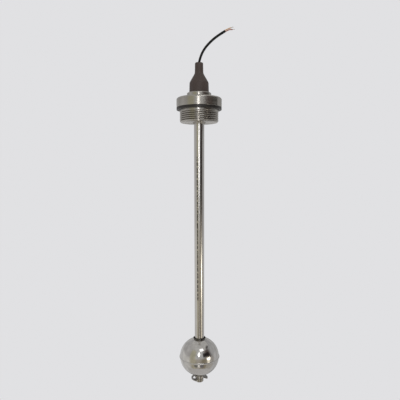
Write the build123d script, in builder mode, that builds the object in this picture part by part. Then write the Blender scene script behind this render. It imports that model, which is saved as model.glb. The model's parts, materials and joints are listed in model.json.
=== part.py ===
from build123d import *
import math
import os

os.makedirs("parts", exist_ok=True)

# Magnetic float level sensor, in millimetres.
# z = 0 is the sealing plane, the underside of the gasket. The cable leaves upwards
# and the stem hangs down into the tank. The seen side faces -Y.

# Clearances
SEAT = 0.05  # radial play of pieces that are fixed in one another
REST_GAP = 0.3  # air left between the float and what stops it
GUIDE_PLAY = 0.95  # the float's guide tube over the stem
GASKET_PLAY = 0.3  # the gasket's bore over the thread
CLIP_PLAY = 0.05  # above and below the clip in its groove
BOOT_PLAY = 0.3  # inside the boot, above the spigot

# Stem tube
STEM_OD = 12.7
STEM_WALL = 1.2
STEM_REACH = 362.1  # sealing plane to the very end of the stem
STEM_PROUD = 2.0  # the tube's top end above the chamber's floor

# Screwed plug: collar, flange and parallel pipe thread in one turned piece
THREAD_R = 23.9  # G 1 1/2, outside radius
THREAD_LENGTH = 14.8
THREAD_CHAMFER = 1.2
RELIEF_DEPTH = 1.6  # undercut between the thread and the flange
FLANGE_REACH = 3.9  # how far the flange stands out past the thread
FLANGE_T = 11.0
FLANGE_CHAMFER = 1.5
FLANGE_LOWER_EDGE = 0.4
COLLAR_REACH = 2.9  # how far the collar stands out past the boot
COLLAR_H = 6.0
COLLAR_CHAMFER = 0.8
SPIGOT_WALL = 2.0
SPIGOT_H = 11.0
SPIGOT_RIB = 0.5
SPIGOT_RIB_AT = 6.0  # height of the rib above the collar
CHAMBER_STEP = 0.65  # the chamber is this much wider than the stem
CHAMBER_FLOOR = -1.0
BEAD_WIDTH = 1.5  # weld between plug and stem
BEAD_DEPTH = 1.6
BEAD_CURVE = 1.76  # radius of the weld's hollow face

# Gasket
GASKET_T = 3.0

# End plug and retaining clip
END_STEP = 0.85  # the end is this much slimmer than the tube
END_LAND = 4.6  # length of the end plug below the clip's groove
END_CHAMFER = 0.9
END_SPIGOT = 9.0
GROOVE_DEPTH = 0.8
CLIP_T = 1.3
CLIP_TAB = 4.15  # length of the clip's tabs, from the groove to the pockets' wall
CLIP_RIM = 2.5
CLIP_MOUTH_AZ = -63.0  # direction of the clip's open side
CLIP_MOUTH_OUTER = 46.0  # half angles of the mouth, at the rim and at the groove
CLIP_MOUTH_INNER = 68.0
CLIP_TAB_END = 88.0
CLIP_POCKET_END = 151.0
CLIP_TIP_ROUND = 1.2
CLIP_POCKET_ROUND = 0.8

# Float
BALL_R = 26.7
BALL_WALL = 0.5
SEAM_PROUD = 1.0  # welded ridge round the equator
SEAM_HALF = 1.3
SEAM_FLANK = (0.72, 0.52)  # where the ridge's flank bulges, in shares of its height and half width
FLOAT_LIFT = 4.3  # how far the float stands above its lower stop, as photographed
GUIDE_WALL = 0.5
GUIDE_PROUD = 1.68  # the guide tube's ends past the rims of the shells' holes
FLARE = 0.75
FLARE_H = 1.5
MAGNET_WALL = 4.15
MAGNET_H = 8.0
CARRIER_WALL = 0.5

# Cable boot
BOOT_WALL = 3.0
BOOT_TAPER = 0.4
BOOT_CROWN = 0.9  # the boot's straight side ends this far above the spigot
BOOT_SHOULDER_H = 10.6
BOOT_NECK_H = 12.1
BOOT_NECK_WALL = 3.4
BOOT_NECK_TAPER = 0.3
BOOT_CONE_H = 8.6  # height of the hollow cone above the spigot
BOOT_MOUTH_FLARE = 0.9
BOOT_MOUTH_DEPTH = 1.2
BOOT_TOP_ROUND = 1.6
BOOT_THROAT_ROUND = 5.2
BOOT_SHOULDER_ROUND = 2.9

# Cable: a jacket of this radius with two cores
CABLE_R = 1.45
CABLE_IN_RESIN = 2.0
CORE_R = 0.55
CORE_GAP = 0.3  # air between the two cores
CORE_ON_BOARD = 6.0
CORE_START = 0.5  # straight start of each core at the jacket's end
CORE_BEND = (4.6, 0.0, 2.2)  # from the core's root to its bend
CORE_TIPS = {"brown": (8.4, 0.5, 2.5), "yellow": (7.4, -0.6, 2.9)}  # from the root to the tip
STRAND_R = 0.28
STRAND_LENGTH = 2.6

# Resin that fills the chamber round the cores
RESIN_INSET = 5.0  # below the spigot's top
RESIN_DEPTH = 17.0

# Sensing chain inside the stem
BOARD_SIDE_GAP = 0.95
BOARD_T = 1.0
BOARD_Y = 1.0
BOARD_DROP = 5.0  # below the chamber's floor
BOARD_END_GAP = 2.75  # above the end plug
REED_R = 1.1
REED_LENGTH = 14.0
REED_LEAD = 1.6
REED_SPACE = 2.8  # between the leads of two switches
LEAD_R = 0.3
PAD = 0.8
RESISTOR_W = 3.2
RESISTOR_T = 0.6
RESISTOR_H = 1.6
SPACER_T = 2.0

# Radii that follow from the sizes above
stem_r = STEM_OD / 2
stem_bore_r = stem_r - STEM_WALL
plug_bore_r = stem_r + SEAT
chamber_r = stem_r + CHAMBER_STEP
spigot_r = chamber_r + SPIGOT_WALL
boot_base_r = spigot_r + BOOT_WALL
boot_body_r = boot_base_r - BOOT_TAPER
collar_r = boot_base_r + COLLAR_REACH
relief_r = THREAD_R - RELIEF_DEPTH
flange_r = THREAD_R + FLANGE_REACH
end_r = stem_r - END_STEP
groove_r = end_r - GROOVE_DEPTH
clip_bore_r = groove_r + SEAT
clip_pocket_r = clip_bore_r + CLIP_TAB
clip_r = clip_pocket_r + CLIP_RIM
guide_bore_r = stem_r + GUIDE_PLAY
guide_r = guide_bore_r + GUIDE_WALL
shell_hole_r = guide_r + SEAT
magnet_bore_r = guide_r + SEAT
magnet_r = magnet_bore_r + MAGNET_WALL
carrier_r = magnet_r + SEAT + CARRIER_WALL
cable_bore_r = CABLE_R + SEAT
neck_top_r = cable_bore_r + BOOT_NECK_WALL
neck_base_r = neck_top_r + BOOT_NECK_TAPER
core_side = CORE_R + CORE_GAP / 2

# Heights that follow from the sizes above
flange_underside = GASKET_T
flange_top = flange_underside + FLANGE_T
collar_top = flange_top + COLLAR_H
spigot_top = collar_top + SPIGOT_H
boot_body_top = spigot_top + BOOT_CROWN
neck_base = boot_body_top + BOOT_SHOULDER_H
boot_top = neck_base + BOOT_NECK_H
resin_top = spigot_top - RESIN_INSET
resin_bottom = resin_top - RESIN_DEPTH
cable_inner_end = resin_top - CABLE_IN_RESIN
groove_bottom = -STEM_REACH + END_LAND
clip_bottom = groove_bottom + CLIP_PLAY
clip_top = clip_bottom + CLIP_T
tube_end = clip_top + CLIP_PLAY
end_spigot_top = tube_end + END_SPIGOT
shell_rim_h = math.sqrt(BALL_R**2 - shell_hole_r**2)
float_half_h = shell_rim_h + GUIDE_PROUD
float_z = clip_top + REST_GAP + FLOAT_LIFT + float_half_h
bead_bottom = -THREAD_LENGTH - BEAD_DEPTH
float_rise = bead_bottom - REST_GAP - float_half_h - float_z
float_plane = Plane(origin=(0, 0, float_z), x_dir=(1, 0, 0), z_dir=(0, -1, 0))

# The board's faces and ends, and a switch at each step of the float's travel
board_w = 2 * (stem_bore_r - BOARD_SIDE_GAP)
board_front = BOARD_Y - BOARD_T / 2
board_back = BOARD_Y + BOARD_T / 2
board_top = CHAMBER_FLOOR - BOARD_DROP
board_bottom = end_spigot_top + BOARD_END_GAP
reed_pitch = REED_LENGTH + 2 * REED_LEAD + REED_SPACE
reed_count = int(float_rise / reed_pitch) + 1
reed_heights = [float_z + i * reed_pitch for i in range(reed_count)]

# The cable's free stretch, from the boot's mouth to the end of its jacket, in the plane y = 0
CABLE_ROUTE = [
    (0.0, 0.0, boot_top),
    (1.5, 0.0, boot_top + 6.4),
    (6.0, 0.0, boot_top + 15.3),
    (13.5, 0.0, boot_top + 23.4),
    (22.4, 0.0, boot_top + 30.3),
    (31.2, 0.0, boot_top + 35.2),
]


def polar(radius, degrees):
    """A point of a sketch given by its radius and angle."""
    angle = math.radians(degrees)
    return (radius * math.cos(angle), radius * math.sin(angle))


def stands_at(radius):
    """Picks the upright edges that stand this far from the stem's axis."""
    return lambda edge: abs(math.hypot(edge.center().X, edge.center().Y) - radius) < 0.01


def rings_of(piece, radius):
    """The circular edges of a piece that have this radius."""
    rings = piece.edges().filter_by(GeomType.CIRCLE)
    return rings.filter_by(lambda edge: abs(edge.radius - radius) < 0.01)


def arc_radii(points, share=0.45):
    """The largest tangent arc that each corner of a route leaves room for."""
    radii = []
    for before, corner, after in zip(points, points[1:], points[2:]):
        first = Vector(*corner) - Vector(*before)
        second = Vector(*after) - Vector(*corner)
        half_turn = math.radians(first.get_angle(second)) / 2
        radii.append(share * min(first.length, second.length) / math.tan(half_turn))
    return radii


# Plug: turned from bar, bored for the stem, with a chamber and a spigot for the boot
with BuildPart() as mounting_plug:
    with BuildSketch(Plane.XZ):
        with BuildLine():
            bead_start = (plug_bore_r + BEAD_WIDTH, -THREAD_LENGTH)
            bead_end = (plug_bore_r, bead_bottom)
            Polyline(
                bead_start,
                (THREAD_R - THREAD_CHAMFER, -THREAD_LENGTH),
                (THREAD_R, -THREAD_LENGTH + THREAD_CHAMFER),
                (THREAD_R, 0),
                (relief_r, 0),
                (relief_r, flange_underside),
                (flange_r - FLANGE_LOWER_EDGE, flange_underside),
                (flange_r, flange_underside + FLANGE_LOWER_EDGE),
                (flange_r, flange_top - FLANGE_CHAMFER),
                (flange_r - FLANGE_CHAMFER, flange_top),
                (collar_r, flange_top),
                (collar_r, collar_top - COLLAR_CHAMFER),
                (collar_r - COLLAR_CHAMFER, collar_top),
                (spigot_r, collar_top),
                (spigot_r, collar_top + SPIGOT_RIB_AT - 2 * SPIGOT_RIB),
                (spigot_r + SPIGOT_RIB, collar_top + SPIGOT_RIB_AT),
                (spigot_r, collar_top + SPIGOT_RIB_AT + 2 * SPIGOT_RIB),
                (spigot_r, spigot_top - SPIGOT_RIB),
                (spigot_r - SPIGOT_RIB, spigot_top),
                (chamber_r, spigot_top),
                (chamber_r, CHAMBER_FLOOR),
                (plug_bore_r, CHAMBER_FLOOR),
                bead_end,
            )
            RadiusArc(bead_end, bead_start, -BEAD_CURVE)
        make_face()
    revolve(axis=Axis.Z)
mounting_plug.part.label = "mounting_plug"
export_step(mounting_plug.part, "parts/mounting_plug.step")

# Gasket: a flat ring under the flange
with BuildPart() as sealing_gasket:
    with BuildSketch(Plane.XY):
        Circle(flange_r)
        Circle(THREAD_R + GASKET_PLAY, mode=Mode.SUBTRACT)
    extrude(amount=GASKET_T)
sealing_gasket.part.label = "sealing_gasket"
export_step(sealing_gasket.part, "parts/sealing_gasket.step")

# Stem: drawn tube, welded into the plug
with BuildPart() as stem_tube:
    with BuildSketch(Plane.XY.offset(tube_end)):
        Circle(stem_r)
        Circle(stem_bore_r, mode=Mode.SUBTRACT)
    extrude(amount=CHAMBER_FLOOR + STEM_PROUD - tube_end)
stem_tube.part.label = "stem_tube"
export_step(stem_tube.part, "parts/stem_tube.step")

# End plug: closes the tube, and carries the groove of the clip below the tube's end
with BuildPart() as stem_end_plug:
    with BuildSketch(Plane.XZ):
        with BuildLine():
            Polyline(
                (0, -STEM_REACH),
                (end_r - END_CHAMFER, -STEM_REACH),
                (end_r, -STEM_REACH + END_CHAMFER),
                (end_r, groove_bottom),
                (groove_r, groove_bottom),
                (groove_r, tube_end),
                (stem_bore_r - SEAT, tube_end),
                (stem_bore_r - SEAT, end_spigot_top),
                (0, end_spigot_top),
                close=True,
            )
        make_face()
    revolve(axis=Axis.Z)
stem_end_plug.part.label = "stem_end_plug"
export_step(stem_end_plug.part, "parts/stem_end_plug.step")

# Retaining clip: stamped E form, two end tabs and one middle tab in the groove
with BuildPart() as retaining_clip:
    with BuildSketch(Plane.XY.offset(clip_bottom).rotated((0, 0, CLIP_MOUTH_AZ))):
        with BuildLine():
            CenterArc((0, 0), clip_r, CLIP_MOUTH_OUTER, 360 - 2 * CLIP_MOUTH_OUTER)
            CenterArc((0, 0), clip_bore_r, CLIP_POCKET_END, 360 - 2 * CLIP_POCKET_END)
            for side in (1, -1):
                tab = side * CLIP_MOUTH_INNER
                tab_end = side * CLIP_TAB_END
                pocket_end = side * CLIP_POCKET_END
                Line(polar(clip_r, side * CLIP_MOUTH_OUTER), polar(clip_bore_r, tab))
                CenterArc((0, 0), clip_bore_r, tab, tab_end - tab)
                Line(polar(clip_bore_r, tab_end), polar(clip_pocket_r, tab_end))
                CenterArc((0, 0), clip_pocket_r, tab_end, pocket_end - tab_end)
                Line(polar(clip_pocket_r, pocket_end), polar(clip_bore_r, pocket_end))
        make_face()
    extrude(amount=CLIP_T)
    tips = retaining_clip.edges().filter_by(Axis.Z).filter_by(stands_at(clip_r))
    fillet(tips, CLIP_TIP_ROUND)
    pockets = retaining_clip.edges().filter_by(Axis.Z).filter_by(stands_at(clip_pocket_r))
    fillet(pockets, CLIP_POCKET_ROUND)
retaining_clip.part.label = "retaining_clip"
export_step(retaining_clip.part, "parts/retaining_clip.step")

# Float shells: two pressed halves, butt welded at the equator with a proud seam
inner_r = BALL_R - BALL_WALL
inner_rim_h = math.sqrt(inner_r**2 - shell_hole_r**2)
for shell_name, side in (("float_upper_shell", 1), ("float_lower_shell", -1)):
    with BuildPart() as float_shell:
        with BuildSketch(float_plane):
            seam_top = (BALL_R + SEAM_PROUD, 0)
            seam_flank = (
                BALL_R + SEAM_FLANK[0] * SEAM_PROUD,
                side * SEAM_FLANK[1] * SEAM_HALF,
            )
            seam_foot = (math.sqrt(BALL_R**2 - SEAM_HALF**2), side * SEAM_HALF)
            outer_rim = (shell_hole_r, side * shell_rim_h)
            inner_rim = (shell_hole_r, side * inner_rim_h)
            with BuildLine():
                Line((inner_r, 0), seam_top)
                ThreePointArc(seam_top, seam_flank, seam_foot)
                ThreePointArc(seam_foot, polar(BALL_R, side * 45), outer_rim)
                Line(outer_rim, inner_rim)
                ThreePointArc(inner_rim, polar(inner_r, side * 45), (inner_r, 0))
            make_face()
        revolve(axis=Axis.Z)
    float_shell.part.label = shell_name
    export_step(float_shell.part, f"parts/{shell_name}.step")

# Guide tube: runs through the float, with both ends flared over the shells' holes
with BuildPart() as float_guide_tube:
    with BuildSketch(float_plane):
        with BuildLine():
            flare_foot = float_half_h - FLARE_H
            Polyline(
                (guide_bore_r, -flare_foot),
                (guide_bore_r + FLARE, -float_half_h),
                (guide_r + FLARE, -float_half_h),
                (guide_r, -flare_foot),
                (guide_r, flare_foot),
                (guide_r + FLARE, float_half_h),
                (guide_bore_r + FLARE, float_half_h),
                (guide_bore_r, flare_foot),
                close=True,
            )
        make_face()
    revolve(axis=Axis.Z)
float_guide_tube.part.label = "float_guide_tube"
export_step(float_guide_tube.part, "parts/float_guide_tube.step")

# Magnet: one ring round the guide tube, at the middle of the float
with BuildPart() as ring_magnet:
    with BuildSketch(Plane.XY.offset(float_z - MAGNET_H / 2)):
        Circle(magnet_r)
        Circle(magnet_bore_r, mode=Mode.SUBTRACT)
    extrude(amount=MAGNET_H)
ring_magnet.part.label = "ring_magnet"
export_step(ring_magnet.part, "parts/ring_magnet.step")

# Magnet carrier: a pressed cup below the magnet and a washer above it, spot welded to the tube
with BuildPart() as magnet_cup:
    with BuildSketch(float_plane):
        with BuildLine():
            Polyline(
                (magnet_bore_r, -MAGNET_H / 2 - CARRIER_WALL),
                (carrier_r, -MAGNET_H / 2 - CARRIER_WALL),
                (carrier_r, MAGNET_H / 2),
                (magnet_r + SEAT, MAGNET_H / 2),
                (magnet_r + SEAT, -MAGNET_H / 2),
                (magnet_bore_r, -MAGNET_H / 2),
                close=True,
            )
        make_face()
    revolve(axis=Axis.Z)
magnet_cup.part.label = "magnet_cup"
export_step(magnet_cup.part, "parts/magnet_cup.step")

with BuildPart() as magnet_washer:
    with BuildSketch(Plane.XY.offset(float_z + MAGNET_H / 2)):
        Circle(carrier_r)
        Circle(magnet_bore_r, mode=Mode.SUBTRACT)
    extrude(amount=CARRIER_WALL)
magnet_washer.part.label = "magnet_washer"
export_step(magnet_washer.part, "parts/magnet_washer.step")

# Boot: moulded rubber, pushed over the spigot down to the collar
with BuildPart() as cable_boot:
    with BuildSketch(Plane.XZ):
        with BuildLine():
            cavity_r = spigot_r + SEAT
            cavity_top = spigot_top + BOOT_PLAY
            rib_z = collar_top + SPIGOT_RIB_AT
            Polyline(
                (cavity_r, collar_top),
                (boot_base_r, collar_top),
                (boot_body_r, boot_body_top),
                (neck_base_r, neck_base),
                (neck_top_r, boot_top),
                (cable_bore_r + BOOT_MOUTH_FLARE, boot_top),
                (cable_bore_r, boot_top - BOOT_MOUTH_DEPTH),
                (cable_bore_r, cavity_top + BOOT_CONE_H),
                (cavity_r, cavity_top),
                (cavity_r, rib_z + 2 * SPIGOT_RIB),
                (cavity_r + SPIGOT_RIB, rib_z),
                (cavity_r, rib_z - 2 * SPIGOT_RIB),
                close=True,
            )
        make_face()
    revolve(axis=Axis.Z)
    fillet(rings_of(cable_boot, neck_top_r), BOOT_TOP_ROUND)
    fillet(rings_of(cable_boot, neck_base_r), BOOT_THROAT_ROUND)
    fillet(rings_of(cable_boot, boot_body_r), BOOT_SHOULDER_ROUND)
cable_boot.part.label = "cable_boot"
export_step(cable_boot.part, "parts/cable_boot.step")

# Cable, free stretch: straight runs joined by tangent arcs, outside the boot
cable_bends = arc_radii(CABLE_ROUTE)
with BuildPart() as cable_jacket:
    with BuildLine() as cable_path:
        FilletPolyline(*CABLE_ROUTE, radius=cable_bends)
    cable_line = cable_path.wires()[0]
    with BuildSketch(Plane(origin=cable_line @ 0, z_dir=cable_line % 0)):
        Circle(CABLE_R)
    sweep(path=cable_line)
cable_jacket.part.label = "cable_jacket"
export_step(cable_jacket.part, "parts/cable_jacket.step")

# Cable inside the boot: from the resin up to the mouth, where the free stretch goes on
exit_direction = (Vector(*CABLE_ROUTE[1]) - Vector(*CABLE_ROUTE[0])).normalized()
with BuildPart() as cable_lead_in:
    with BuildSketch(Plane.XY.offset(cable_inner_end)):
        Circle(CABLE_R)
    extrude(amount=boot_top + CABLE_R - cable_inner_end)
    split(bisect_by=Plane(origin=CABLE_ROUTE[0], z_dir=exit_direction), keep=Keep.BOTTOM)
cable_lead_in.part.label = "cable_lead_in"
export_step(cable_lead_in.part, "parts/cable_lead_in.step")

# Cores past the jacket's end: insulation, then the tinned strands
jacket_end = Vector(*CABLE_ROUTE[-1])
end_direction = (jacket_end - Vector(*CABLE_ROUTE[-2])).normalized()
across = Vector(-end_direction.Z, 0, end_direction.X)
for core_name, side in (("brown", -1), ("yellow", 1)):
    root = jacket_end + across * (side * core_side)
    bend = root + Vector(*CORE_BEND)
    tip = root + Vector(*CORE_TIPS[core_name])
    tip_direction = (tip - bend).normalized()
    with BuildPart() as core_insulation:
        with BuildLine() as core_path:
            straight_end = root + end_direction * CORE_START
            Line(root, straight_end)
            Spline(straight_end, bend, tip, tangents=(end_direction, tip_direction))
        core_line = core_path.wires()[0]
        with BuildSketch(Plane(origin=core_line @ 0, z_dir=core_line % 0)):
            Circle(CORE_R)
        sweep(path=core_line)
    core_insulation.part.label = f"core_{core_name}"
    export_step(core_insulation.part, f"parts/core_{core_name}.step")
    with BuildPart() as core_strands:
        with BuildSketch(Plane(origin=tip, z_dir=tip_direction)):
            Circle(STRAND_R)
        extrude(amount=STRAND_LENGTH)
    core_strands.part.label = f"strands_{core_name}"
    export_step(core_strands.part, f"parts/strands_{core_name}.step")

# Cores inside: from the cable's inner end, through the resin, to their pads on the board
core_y = board_front - CORE_R - SEAT
core_bottom = board_top - CORE_ON_BOARD
for core_name, side in (("brown", -1), ("yellow", 1)):
    with BuildPart() as inner_core:
        with BuildSketch(Plane.XY.offset(core_bottom)):
            with Locations((side * core_side, core_y)):
                Circle(CORE_R)
        extrude(amount=cable_inner_end - core_bottom)
    inner_core.part.label = f"inner_core_{core_name}"
    export_step(inner_core.part, f"parts/inner_core_{core_name}.step")

# Resin: cast into the chamber round the cores and the cable's end
with BuildPart() as chamber_resin:
    with BuildSketch(Plane.XY.offset(resin_bottom)):
        Circle(chamber_r - SEAT)
        with Locations((-core_side, core_y), (core_side, core_y)):
            Circle(CORE_R + SEAT, mode=Mode.SUBTRACT)
    extrude(amount=RESIN_DEPTH)
    with BuildSketch(Plane.XY.offset(cable_inner_end)):
        Circle(cable_bore_r)
    extrude(amount=CABLE_IN_RESIN, mode=Mode.SUBTRACT)
chamber_resin.part.label = "chamber_resin"
export_step(chamber_resin.part, "parts/chamber_resin.step")

# Sensing board: one long narrow strip in the stem
with BuildPart() as sensor_board:
    with BuildSketch(Plane.XY.offset(board_bottom)):
        with Locations((0, BOARD_Y)):
            Rectangle(board_w, BOARD_T)
    extrude(amount=board_top - board_bottom)
sensor_board.part.label = "sensor_board"
export_step(sensor_board.part, "parts/sensor_board.step")

# Reed switches: glass capsules with formed leads, one for each step of the reading
reed_y = board_front - REED_R - SEAT
glass_end = REED_LENGTH / 2
lead_end = glass_end + REED_LEAD
pad_reach = board_front - SEAT - reed_y
for number, height in enumerate(reed_heights, start=1):
    with BuildPart() as reed_switch:
        with BuildSketch(Plane.XZ.offset(-reed_y)):
            with BuildLine():
                Polyline(
                    (0, height - lead_end),
                    (LEAD_R, height - lead_end),
                    (LEAD_R, height - glass_end),
                    (REED_R, height - glass_end + REED_R),
                    (REED_R, height + glass_end - REED_R),
                    (LEAD_R, height + glass_end),
                    (LEAD_R, height + lead_end),
                    (0, height + lead_end),
                    close=True,
                )
            make_face()
        revolve(axis=Axis((0, reed_y, 0), (0, 0, 1)))
        for pad_bottom in (height - lead_end, height + lead_end - PAD):
            with BuildSketch(Plane.XY.offset(pad_bottom)):
                with Locations((0, reed_y + pad_reach / 2)):
                    Rectangle(PAD, pad_reach)
            extrude(amount=PAD)
    reed_switch.part.label = f"reed_switch_{number:02d}"
    export_step(reed_switch.part, f"parts/reed_switch_{number:02d}.step")

# Resistors: a chain of small chips on the back of the board, one beside each switch
with BuildPart() as chain_resistors:
    for height in reed_heights:
        with BuildSketch(Plane.XY.offset(height - RESISTOR_H / 2)):
            with Locations((0, board_back + SEAT + RESISTOR_T / 2)):
                Rectangle(RESISTOR_W, RESISTOR_T)
        extrude(amount=RESISTOR_H)
chain_resistors.part.label = "chain_resistors"
export_step(chain_resistors.part, "parts/chain_resistors.step")

# Spacers: soft discs between two switches, which keep the board off the tube's wall
spacer_below = {"lower": 1, "middle": reed_count // 2, "upper": reed_count - 1}
for place, switch in spacer_below.items():
    spacer_z = (reed_heights[switch - 1] + reed_heights[switch]) / 2
    with BuildPart() as board_spacer:
        with BuildSketch(Plane.XY.offset(spacer_z - SPACER_T / 2)):
            Circle(stem_bore_r - SEAT)
            with Locations((0, BOARD_Y)):
                Rectangle(board_w + 2 * SEAT, BOARD_T + 2 * SEAT, mode=Mode.SUBTRACT)
        extrude(amount=SPACER_T)
    board_spacer.part.label = f"board_spacer_{place}"
    export_step(board_spacer.part, f"parts/board_spacer_{place}.step")

# The cable's length and bends, the float's rest height and its travel
section = math.pi * CABLE_R**2
print("cable length", round(cable_line.length, 2))
print("cable radii", [round(radius, 1) for radius in cable_bends])
print("cable volume", round(cable_jacket.part.volume, 2))
print("section times length", round(section * cable_line.length, 2))
print("float centre", round(float_z, 2), "down", -FLOAT_LIFT, "up", round(float_rise, 2))
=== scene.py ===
import json
import math

import bmesh
import bpy
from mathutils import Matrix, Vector, noise


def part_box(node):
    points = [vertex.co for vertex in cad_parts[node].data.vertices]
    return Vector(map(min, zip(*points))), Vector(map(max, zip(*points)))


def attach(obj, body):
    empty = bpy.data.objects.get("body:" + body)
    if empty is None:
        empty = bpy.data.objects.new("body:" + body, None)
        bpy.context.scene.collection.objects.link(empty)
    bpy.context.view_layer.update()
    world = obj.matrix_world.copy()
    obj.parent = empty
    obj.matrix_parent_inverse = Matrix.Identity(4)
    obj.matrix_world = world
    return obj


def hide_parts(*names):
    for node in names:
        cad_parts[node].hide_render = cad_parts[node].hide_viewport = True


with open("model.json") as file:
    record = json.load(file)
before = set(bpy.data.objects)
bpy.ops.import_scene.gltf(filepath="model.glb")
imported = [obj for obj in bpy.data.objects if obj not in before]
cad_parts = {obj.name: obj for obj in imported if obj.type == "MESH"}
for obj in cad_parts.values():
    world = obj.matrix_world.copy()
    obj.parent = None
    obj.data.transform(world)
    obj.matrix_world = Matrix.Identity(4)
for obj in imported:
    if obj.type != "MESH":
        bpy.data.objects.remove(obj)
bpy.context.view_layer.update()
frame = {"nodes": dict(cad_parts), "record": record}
scene = bpy.context.scene
MM = 0.001

# Camera: it stands in front of the sensor, level with the upper part of the stem, and looks
# slightly down. Its lens is shifted so that the sensor's top stays inside the picture.
camera_data = bpy.data.cameras.new("camera")
camera_data.lens = 37.81
camera_data.shift_y = 0.1458
camera = bpy.data.objects.new("camera", camera_data)
camera.location = (1.0 * MM, -544.4 * MM, -76.8 * MM)
camera.rotation_euler = (math.radians(90 - 11.39), math.radians(0.07), 0)
scene.collection.objects.link(camera)
scene.camera = camera


# Cable jacket: extruded black sheath over two cores. It leaves the boot's mouth straight up and
# bends over to the right under its own weight, down to its cut end.
def add_node(tree, kind, inputs=None, **settings):
    """One node with its settings. An input takes a value, or the socket of another node."""
    made = tree.nodes.new(kind)
    for key, value in settings.items():
        setattr(made, key, value)
    for key, value in (inputs or {}).items():
        if isinstance(value, bpy.types.NodeSocket):
            tree.links.new(value, made.inputs[key])
        else:
            made.inputs[key].default_value = value
    return made


def math_node(tree, operation, first, second=0.0, clamp=False):
    """The outcome of one sum, product or comparison of two values."""
    sockets = {0: first, 1: second}
    return add_node(tree, "ShaderNodeMath", sockets, operation=operation, use_clamp=clamp).outputs[0]


def node_group(name, kind, inputs, outputs):
    """An empty node group with named inputs and outputs, and its two end nodes' sockets."""
    group = bpy.data.node_groups.new(name, kind)
    for label, socket, default in inputs:
        made = group.interface.new_socket(label, in_out="INPUT", socket_type="NodeSocket" + socket)
        if default is not None:
            made.default_value = default
    for label, socket in outputs:
        group.interface.new_socket(label, in_out="OUTPUT", socket_type="NodeSocket" + socket)
    taken = group.nodes.new("NodeGroupInput").outputs
    given = group.nodes.new("NodeGroupOutput").inputs
    return group, taken, given


def use_group(tree, group, inputs):
    """A copy of a node group inside a material, with its own values."""
    made = tree.nodes.new(tree.bl_idname.replace("Tree", "Group"))
    made.node_tree = group
    for key, value in inputs.items():
        made.inputs[key].default_value = value
    return made.outputs


def new_material(name, plain):
    """A material, its tree and its shader, with plain numbers on the shader's own sockets."""
    made = bpy.data.materials.new(name)
    made.use_nodes = True
    shader = made.node_tree.nodes["Principled BSDF"]
    for label, value in plain.items():
        shader.inputs[label].default_value = value
    return made, made.node_tree, shader


def blend_colours(tree, factor, first, second):
    """The first colour turning into the second as the factor goes from 0 to 1."""
    inputs = {"Factor": factor, "A": first, "B": second}
    return add_node(tree, "ShaderNodeMix", inputs, data_type="RGBA").outputs["Result"]


def spread(tree, value, low, high):
    """A value from 0 to 1 carried over to a range."""
    inputs = {"Value": value, "To Min": low, "To Max": high}
    return add_node(tree, "ShaderNodeMapRange", inputs).outputs["Result"]


# moulded rubber and plastic: a fine grain, and patches where the surface is duller
moulded_grain, taken, given = node_group(
    "moulded_grain",
    "ShaderNodeTree",
    [("Grains per metre", "Float", 4000.0), ("Patches per metre", "Float", 90.0)],
    [("Height", "Float"), ("Patches", "Float")],
)
place = add_node(moulded_grain, "ShaderNodeTexCoord").outputs["Object"]
grains = add_node(
    moulded_grain,
    "ShaderNodeTexNoise",
    {"Vector": place, "Scale": taken["Grains per metre"], "Detail": 3.0},
)
patches = add_node(
    moulded_grain,
    "ShaderNodeTexNoise",
    {"Vector": place, "Scale": taken["Patches per metre"], "Detail": 2.0},
)
moulded_grain.links.new(grains.outputs["Fac"], given["Height"])
moulded_grain.links.new(patches.outputs["Fac"], given["Patches"])


def rubber(name, colour, dull_colour, roughness, grains_per_metre, depth, specular=0.5):
    """Moulded rubber or sheath: grain in relief, with duller and paler patches."""
    made, tree, shader = new_material(name, {"Specular IOR Level": specular})
    skin = use_group(tree, moulded_grain, {"Grains per metre": grains_per_metre})
    tint = blend_colours(tree, skin["Patches"], (*colour, 1), (*dull_colour, 1))
    tree.links.new(tint, shader.inputs["Base Color"])
    dullness = spread(tree, skin["Patches"], roughness - 0.06, roughness + 0.08)
    tree.links.new(dullness, shader.inputs["Roughness"])
    relief = {"Height": skin["Height"], "Distance": depth, "Strength": 0.6}
    bump = add_node(tree, "ShaderNodeBump", relief)
    tree.links.new(bump.outputs["Normal"], shader.inputs["Normal"])
    return made


def stands_for(obj, body, slot, *nodes):
    """A finished piece rides on its body and takes the place of these solids."""
    if nodes:
        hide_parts(*nodes)
    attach(obj, body)


def cord_line(name, points, radius, material):
    """A round cord along a smooth curve with these control points."""
    curve = bpy.data.curves.new(name, "CURVE")
    curve.dimensions = "3D"
    curve.resolution_u = 24
    curve.bevel_depth = radius
    curve.bevel_resolution = 6
    curve.use_fill_caps = True
    spline = curve.splines.new("NURBS")
    spline.points.add(len(points) - 1)
    for point, place in zip(spline.points, points):
        point.co = (*place, 1)
    spline.order_u = 3
    spline.use_endpoint_u = True
    curve.materials.append(material)
    obj = bpy.data.objects.new(name, curve)
    scene.collection.objects.link(obj)
    return obj


cable_radius = 1.45 * MM
cable_route = [
    (0.0, 0.0, 0.0546),
    (0.0015, 0.0, 0.0610),
    (0.0060, 0.0, 0.0699),
    (0.0135, 0.0, 0.0780),
    (0.0224, 0.0, 0.0849),
    (0.0312, 0.0, 0.0898),
]
sheath = rubber(
    "cable_sheath",
    colour=(0.003, 0.003, 0.003),
    dull_colour=(0.006, 0.006, 0.006),
    roughness=0.5,
    grains_per_metre=6000,
    depth=0.01 * MM,
    specular=0.25,
)
jacket = cord_line("cable_jacket_free", cable_route, cable_radius, sheath)
stands_for(jacket, "root", "cable_sheath", "cable_jacket")
lead_in = frame["nodes"]["cable_lead_in"]
lead_in.data.materials.clear()
lead_in.data.materials.append(sheath)


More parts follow.
